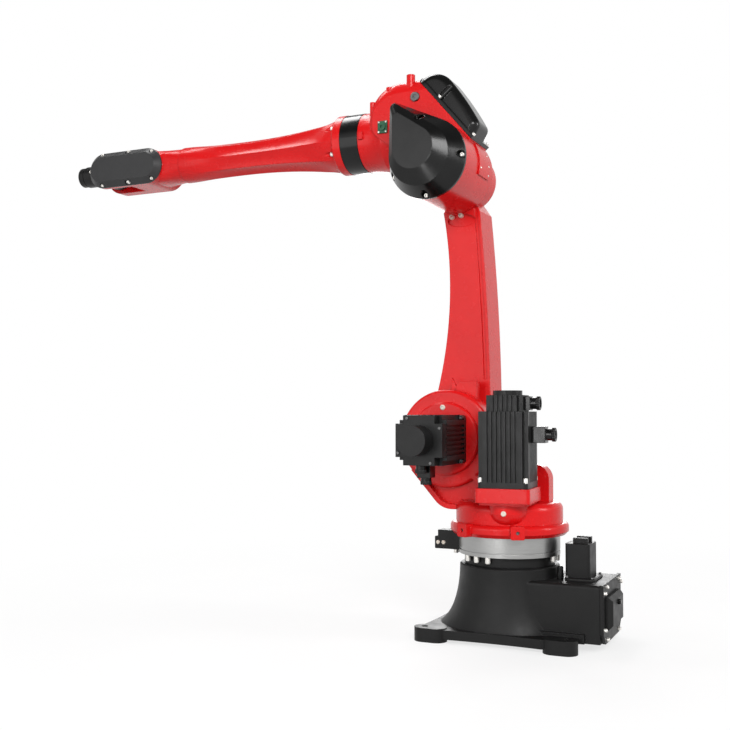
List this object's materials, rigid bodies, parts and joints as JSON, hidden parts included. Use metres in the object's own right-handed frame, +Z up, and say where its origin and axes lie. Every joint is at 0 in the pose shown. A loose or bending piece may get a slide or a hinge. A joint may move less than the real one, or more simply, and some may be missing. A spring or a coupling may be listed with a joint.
{
  "type": "six-axis industrial robot arm",
  "caption": "Floor-mounted articulated robot arm with a flared footed base, turning shoulder, upright upper arm, long level forearm and a forked wrist with a bolt-on tool flange.",
  "frame": {"origin": "on the turning axis of the turret, at the floor under the base feet", "axes": "+Z up, +X the way the arm reaches in its zero pose, +Y the robot's left"},
  "size_m": [1.758, 0.464, 1.5285],
  "materials": {
    "red_paint": "gloss",
    "black_casting": "satin",
    "dark_anodised": "satin",
    "bright_aluminium": "brushed",
    "gloss_black": "gloss",
    "grey_plastic": "satin"
  },
  "bodies": {
    "base": {"base_casting": "black_casting", "base_neck": "black_casting", "rear_panel": "black_casting", "connector_hatch": "black_casting", "hatch_knob": "gloss_black", "cable_gland": "gloss_black", "stop_post": "black_casting"},
    "turret": {"turret_casting": "red_paint", "reducer_ring": "bright_aluminium", "stop_block": "black_casting", "turn_motor_body": "dark_anodised", "turn_motor_encoder": "dark_anodised", "turn_motor_plugs": "gloss_black", "shoulder_motor_body": "dark_anodised", "shoulder_motor_cap": "dark_anodised", "shoulder_motor_plugs": "gloss_black"},
    "upper_arm": {"upper_arm": "red_paint"},
    "elbow": {"elbow_casting": "red_paint", "elbow_motor_cover": "gloss_black", "elbow_rear_cover": "gloss_black", "elbow_socket": "grey_plastic", "air_fitting": "bright_aluminium", "bracket_plate": "red_paint", "zero_tab": "bright_aluminium"},
    "forearm": {"forearm_band": "gloss_black", "forearm_tube": "red_paint", "wrist_cover": "grey_plastic"},
    "wrist": {"wrist_housing": "dark_anodised"},
    "tool": {"tool_flange": "dark_anodised"}
  },
  "joints": [
    {"name": "turret_turn", "type": "hinge", "parent": "base", "child": "turret", "pos_m": [0, 0, 0.2], "axis": [0, 0, 1], "range_deg": [-155, 155]},
    {"name": "shoulder_swing", "type": "hinge", "parent": "turret", "child": "upper_arm", "pos_m": [0.165, 0, 0.524], "axis": [0, 1, 0], "range_deg": [-65, 90]},
    {"name": "elbow_swing", "type": "hinge", "parent": "upper_arm", "child": "elbow", "pos_m": [0.165, 0, 1.265], "axis": [0, -1, 0], "range_deg": [-75, 110]},
    {"name": "forearm_roll", "type": "hinge", "parent": "elbow", "child": "forearm", "pos_m": [0.414, 0, 1.375], "axis": [1, 0, 0], "range_deg": [-180, 180]},
    {"name": "wrist_bend", "type": "hinge", "parent": "forearm", "child": "wrist", "pos_m": [1.334, 0, 1.375], "axis": [0, -1, 0], "range_deg": [-115, 115]},
    {"name": "tool_turn", "type": "hinge", "parent": "wrist", "child": "tool", "pos_m": [1.46, 0, 1.375], "axis": [1, 0, 0], "range_deg": [-360, 360]}
  ]
}
